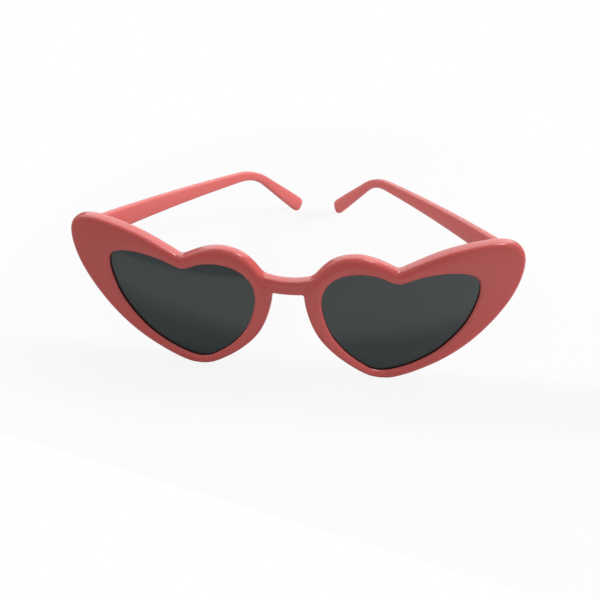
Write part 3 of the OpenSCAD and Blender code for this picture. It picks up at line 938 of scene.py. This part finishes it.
def screw_tree():
    """Slotted screws in a row along X, heads up, centred on the origin."""
    tree, start, size = geometry_tree("Row of screws", screw_sizes)
    radius, height = size["Head radius"], size["Head height"]
    # the first of the twelve steps closes the underside, and the others climb the dome
    grid, u, rise = unit_grid(start, 33, 13)
    theta, step, dome_power = u * math.tau, rise * 12.0, 3.0
    dome = (((step - 1) / 11.0).clamped() * (math.pi / 2)).math("SINE")
    reach = (1 - dome**dome_power) ** (1 / dome_power) * step.clamped() * radius
    place = start.vector(X=theta.math("COSINE") * reach, Y=theta.math("SINE") * reach, Z=dome * height)
    head = bent(start, grid, place, 0.02)
    # the cutter is a bar longer than the head is wide, sunk by the slot's depth
    slot_size = start.vector(X=radius * 3.0, Y=size["Slot width"], Z=height * 2.0)
    slot = start.node("GeometryNodeMeshCube", None, {"Size": slot_size})
    slot_up = start.vector(Z=height * 2.0 - size["Slot depth"])
    slot = start.node("GeometryNodeTransform", None, {"Geometry": slot, "Translation": slot_up})
    cut = start.node(
        "GeometryNodeMeshBoolean", {"operation": "DIFFERENCE"}, {"Mesh 1": head, "Mesh 2": slot})
    shank = start.node("GeometryNodeMeshCylinder", None, {
        "Vertices": 24, "Radius": size["Shank radius"], "Depth": size["Shank depth"]})
    shank_down = start.vector(Z=size["Shank depth"] * -0.5 + height * 0.2)
    shank = start.node("GeometryNodeTransform", None, {"Geometry": shank, "Translation": shank_down})
    # a join's one socket takes many links: the head's first, then the shank's
    screw = start.node("GeometryNodeJoinGeometry", None, {"Geometry": cut})
    start.tree.links.new(shank.socket, screw.socket.node.inputs[0])
    first = start.vector(X=(size["Count"] - 1) * size["Pitch"] * (-0.5 * MM))
    pitch = start.vector(X=size["Pitch"] * MM)
    row = start.node("GeometryNodeMeshLine", None, {
        "Count": size["Count"], "Start Location": first, "Offset": pitch})
    angle = start.node("FunctionNodeRandomValue", {"data_type": "FLOAT"}, {"Seed": size["Seed"]}, out=1)
    turn = start.vector(Z=angle * math.pi)
    copies = start.node("GeometryNodeInstanceOnPoints", None, {
        "Points": row, "Instance": screw, "Rotation": turn, "Scale": (MM, MM, MM)})
    close_tree(start, copies, size["Steel"])
    return tree


# %% Four rows of leaf screws
screws = screw_tree()
print("screw tree:", len(screws.nodes), "nodes")


def leaf_screws(leaf, label, body, place, values):
    """Grows one leaf's row of screws, puts it in its place and dresses it."""
    piece = grown("leaf_screws_" + leaf + "_" + label, screws, {**screw_sizes, **values})
    piece.data.transform(place)
    tidy(piece.data)
    dress(crisp(piece), body, screw_steel, leaf + "_leaf_screws_" + label)


slope = temple_sizes["Slope"]
# the temple's leaf: how far it stands proud, where it starts behind the pin, its length
leaf_proud, leaf_start, leaf_l = 0.3, 0.9, 5
temple_screw_shares = (0.3, 0.78)
screw_row = leaf_start + sum(temple_screw_shares) / 2 * leaf_l
temple_pitch = (temple_screw_shares[1] - temple_screw_shares[0]) * leaf_l
right_angle = math.radians(90)
spun = Matrix.Rotation(right_angle, 4, "Z")
for label, side in SIDES:
    mirror = Matrix.Scale(side, 4, Vector((1, 0, 0)))
    low, high = (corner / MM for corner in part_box("front_leaf_screws_" + label))
    face_y = high.y - screw_sizes["Head height"]
    seat_place = Matrix.Translation(Vector(((low.x + high.x) / 2, face_y, (low.z + high.z) / 2)) * MM)
    seat_turn = Matrix.Rotation(-right_angle, 4, "X") @ spun
    leaf_screws("front", label, "front", seat_place @ seat_turn, {"Seed": 3 + side})

    at_pin = Matrix.Translation(pin * MM) @ Matrix.Rotation(fold, 4, "Z") @ Matrix.Rotation(-slope, 4, "X")
    on_leaf = Matrix.Translation(Vector((face_x - leaf_proud, screw_row, 0)) * MM)
    leaf_turn = Matrix.Rotation(-right_angle, 4, "Y") @ spun
    leaf_screws(
        "temple", label, label + "_temple", mirror @ at_pin @ on_leaf @ leaf_turn,
        {"Pitch": temple_pitch, "Shank depth": 2.0, "Seed": 8 + side})

# %% [markdown]
# ## Table, light and camera
# The photograph has a plain white ground. The camera alone sees the table lifted to near white,
# with a faint shadow left on it. Light and gloss see the sheet under the glasses with painted light
# and shade: paler to the right as painted light, a soft grey strip of painted shadow below the front,
# and a duller ground past the edges. The lenses mirror these tones as soft bands, as the real lenses
# mirror the room they were in.
#
# A low lamp far to the right lights the tops of the rims and the right side, and can't be seen in
# gloss. A weak lamp fills in from the left. Two cards overhead don't light anything and are seen in
# gloss alone, as the pale band along the top rolls. The world fills in evenly, at a level where a
# colour looks about as it is written.


# %% Table
def grey(level):
    """A neutral colour."""
    return (level, level, level, 1)


def table_material():
    """Sheet with painted light and shade for light and gloss, lifted to near white for the camera; places
    in metres.
    """
    material, start, place = new_material("table_white")
    sheet_middle, sheet_radius, sheet_fade = (0.025, 0.0, 0.0), 0.1, 0.16
    edge_slant, edge_y, edge_fade, edge_depth = 0.21, 0.112, 0.006, 0.8
    strip_front, strip_back, front_fade, back_fade, painted_shadow_depth = 0.083, 0.045, 0.015, 0.01, 0.45
    painted_light_slope, shadow_kept = 2.5, 0.12

    distance = start.node(
        "ShaderNodeVectorMath", {"operation": "DISTANCE"}, {0: place, 1: sheet_middle}, "Value")
    x = start.node("ShaderNodeSeparateXYZ", None, {0: place})
    y = x.out("Y")
    past_edge = y * -1.0 - x * edge_slant - edge_y
    away = ((distance - sheet_radius) / sheet_fade).eased()
    off_sheet = away.math("MAXIMUM", (past_edge / edge_fade).eased() * edge_depth)
    # painted shadow: a grey strip on the sheet just before the front, where the glasses' contact shadow
    # falls
    painted_shadow_strip = ((y + strip_front) / front_fade).eased() * ((y + strip_back) / -back_fade).eased()
    # painted light: the sheet grows paler to the right
    sheet = (x * painted_light_slope + 0.5).clamped().mix(grey(0.7), grey(0.98))
    sheet = (painted_shadow_strip * painted_shadow_depth).mix(sheet, grey(0.2))
    ground = principled(start, {
        "Base Color": off_sheet.mix(sheet, grey(0.4)), "Roughness": 1.0, "Specular IOR Level": 0.0})
    lifted = start.node("ShaderNodeEmission", None, {"Color": grey(1), "Strength": 1.0})
    camera_ray = start.node("ShaderNodeLightPath", out="Is Camera Ray")
    lift = camera_ray * ((off_sheet * 2.0).clamped() * shadow_kept + (1 - shadow_kept))
    shader = start.node("ShaderNodeMixShader", None, {0: lift, 1: ground, 2: lifted})
    close_material(start, shader)
    return material


half = 4000
corners = [(-half, -half, 0), (half, -half, 0), (half, half, 0), (-half, half, 0)]
table = add_piece("table", corners, [(0, 1, 2, 3)])
table.data.materials.append(table_material())
table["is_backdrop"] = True
print("table side:", half * 2 * MM, "m")

# %% World
world_light = 0.545
world = bpy.data.worlds.new("studio")
world.use_nodes = True
world.node_tree.nodes.clear()
sky = Wire(world.node_tree)
camera_ray = sky.node("ShaderNodeLightPath", out="Is Camera Ray")
strength = camera_ray * (1 - world_light) + world_light
glow = sky.node("ShaderNodeBackground", None, {"Color": grey(1), "Strength": strength})
output = world.node_tree.nodes.new("ShaderNodeOutputWorld")
world.node_tree.links.new(glow.socket, output.inputs["Surface"])
bpy.context.scene.world = world
print("world strength:", world_light)


# %% Lamps
def aim(thing, place, target):
    """Puts a lamp or the camera in its place, in millimetres, and turns it to the target."""
    thing.location = Vector(place) * MM
    thing.rotation_euler = (Vector(target) - Vector(place)).to_track_quat("-Z", "Y").to_euler()


lamp_target = (0, 0, 20)


def soft_lamp(name, place, size, watts, lights=True, mirrored=True):
    """A square lamp aimed at the glasses; it may light surfaces, be seen in their gloss, or both."""
    lamp = bpy.data.lights.new(name, "AREA")
    lamp.shape = "SQUARE"
    lamp.size = size * MM
    lamp.energy = watts
    holder = bpy.data.objects.new(name, lamp)
    bpy.context.scene.collection.objects.link(holder)
    aim(holder, place, lamp_target)
    holder.visible_diffuse = lights
    holder.visible_glossy = mirrored
    print(name, "lamp:", watts, "W")


soft_lamp("key", (2344, 275, 1120), 800, 46, mirrored=False)
soft_lamp("fill", (-640, 85, 550), 500, 1.7)
soft_lamp("card", (0, 900, 900), 2000, 34, lights=False)
soft_lamp("streak", (1300, -60, 2249), 400, 24, lights=False)

# %% Camera
# fitted to the photograph: focal length and picture width in pixels, place and target in mm
focal_px, picture_px = 641.5, 600
camera = bpy.data.cameras.new("camera")
camera.sensor_width = 36
camera.lens = focal_px * camera.sensor_width / picture_px
camera.clip_start = 0.01
viewer = bpy.data.objects.new("camera", camera)
bpy.context.scene.collection.objects.link(viewer)
camera_place, camera_target = (22.8, -218.5, 175.2), (4.2, -58.2, 37.4)
aim(viewer, camera_place, camera_target)
bpy.context.scene.camera = viewer
bpy.context.scene.view_settings.view_transform = "Standard"
print("camera lens:", round(camera.lens, 2), "mm")

# %% [markdown]
# The smooth skins may not change the object's size. Both boxes are written side by side, so that a
# difference shows at once.

# %% Write the sizes and finish
for label, box in (("solid", cad_box), ("visual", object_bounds())):
    print(label, "box, mm:", [[round(v / MM, 2) for v in corner] for corner in box])
